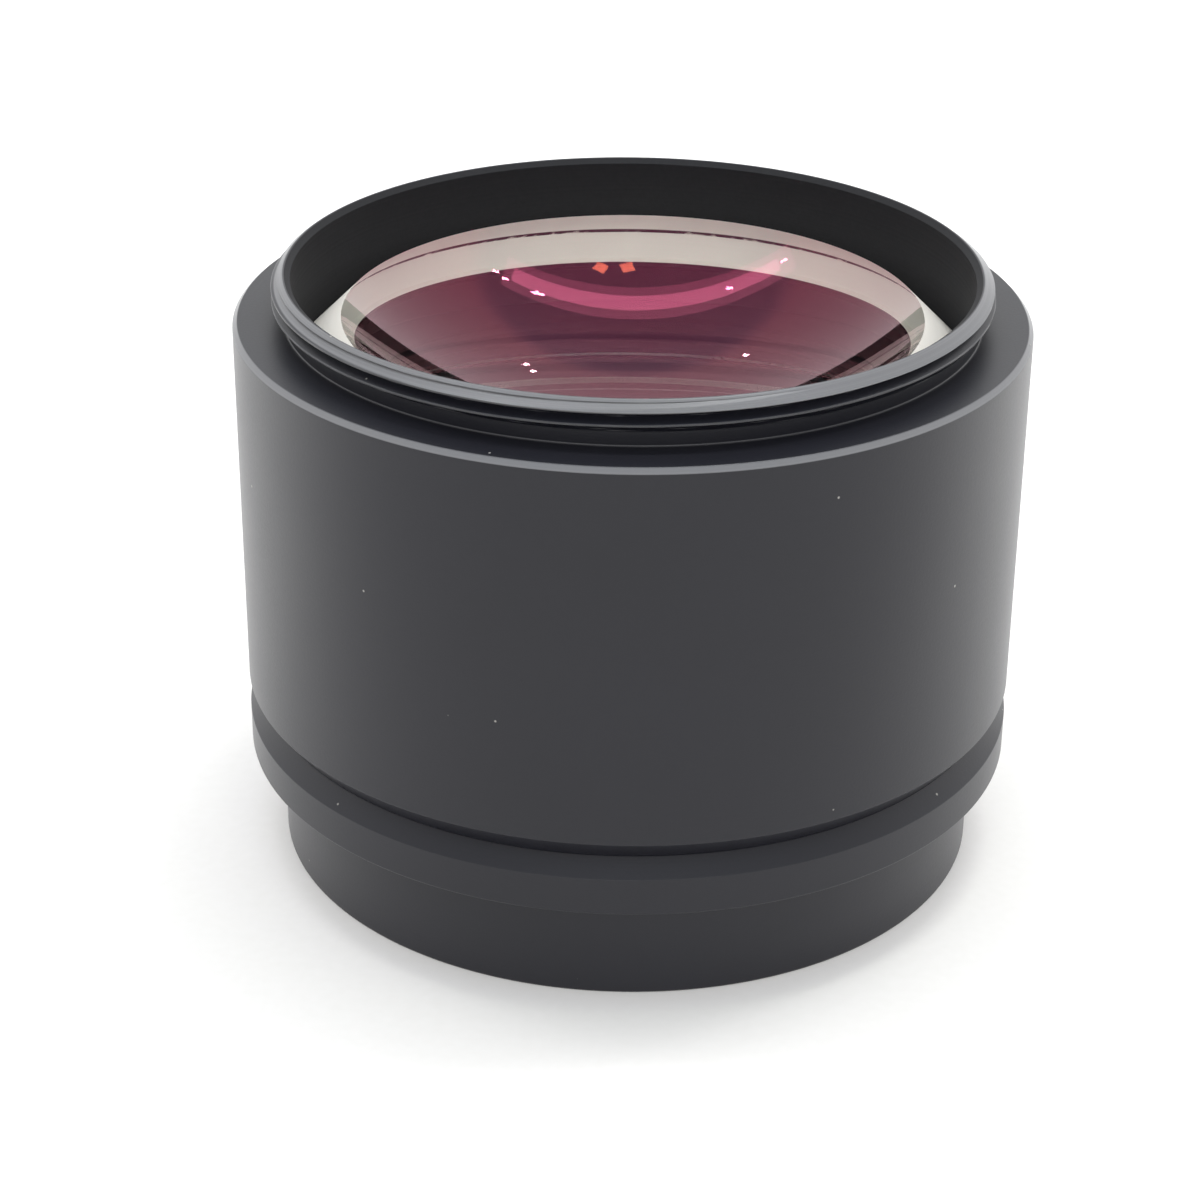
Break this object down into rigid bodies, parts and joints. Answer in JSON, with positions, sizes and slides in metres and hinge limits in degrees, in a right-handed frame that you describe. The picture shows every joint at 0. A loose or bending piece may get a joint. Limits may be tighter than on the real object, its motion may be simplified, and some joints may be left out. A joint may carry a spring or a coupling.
{
  "type": "stereo microscope objective",
  "caption": "Black turned barrel with a hollow coated rear lens in a short threaded neck, a V groove round its joint and a stepped seat for a ring light at the front.",
  "frame": {"origin": "centre of the base face of the front ring, on the optical axis", "axes": "+Z along the optical axis, from the front end that faces the specimen up to the threaded neck; the part is turned, so +X and +Y are alike"},
  "size_m": [0.072, 0.072, 0.0559],
  "materials": {
    "outside_anodising": "fine bead blasted, satin black anodised",
    "inside_anodising": "matte black anodised",
    "coated_glass": "polished with a magenta anti-reflection coating, ground edge",
    "optical_glass": "polished, edge blackened",
    "shim_steel": "rolled strip",
    "black_rubber": "moulded"
  },
  "bodies": {
    "root": {"outer_barrel": "outside_anodising", "front_ring": "outside_anodising", "rear_lens": "coated_glass", "rear_spacer": "inside_anodising", "parfocal_shim": "shim_steel", "middle_crown_lens": "optical_glass", "middle_flint_lens": "optical_glass", "middle_cell": "inside_anodising", "middle_retaining_ring": "inside_anodising", "middle_spacer": "inside_anodising", "stack_rubber_ring": "black_rubber", "light_baffle": "inside_anodising", "front_cell": "inside_anodising", "front_crown_lens": "optical_glass", "front_flint_lens": "coated_glass", "front_retaining_ring": "inside_anodising", "lock_ring": "inside_anodising", "joint_rubber_ring": "black_rubber"}
  },
  "joints": []
}
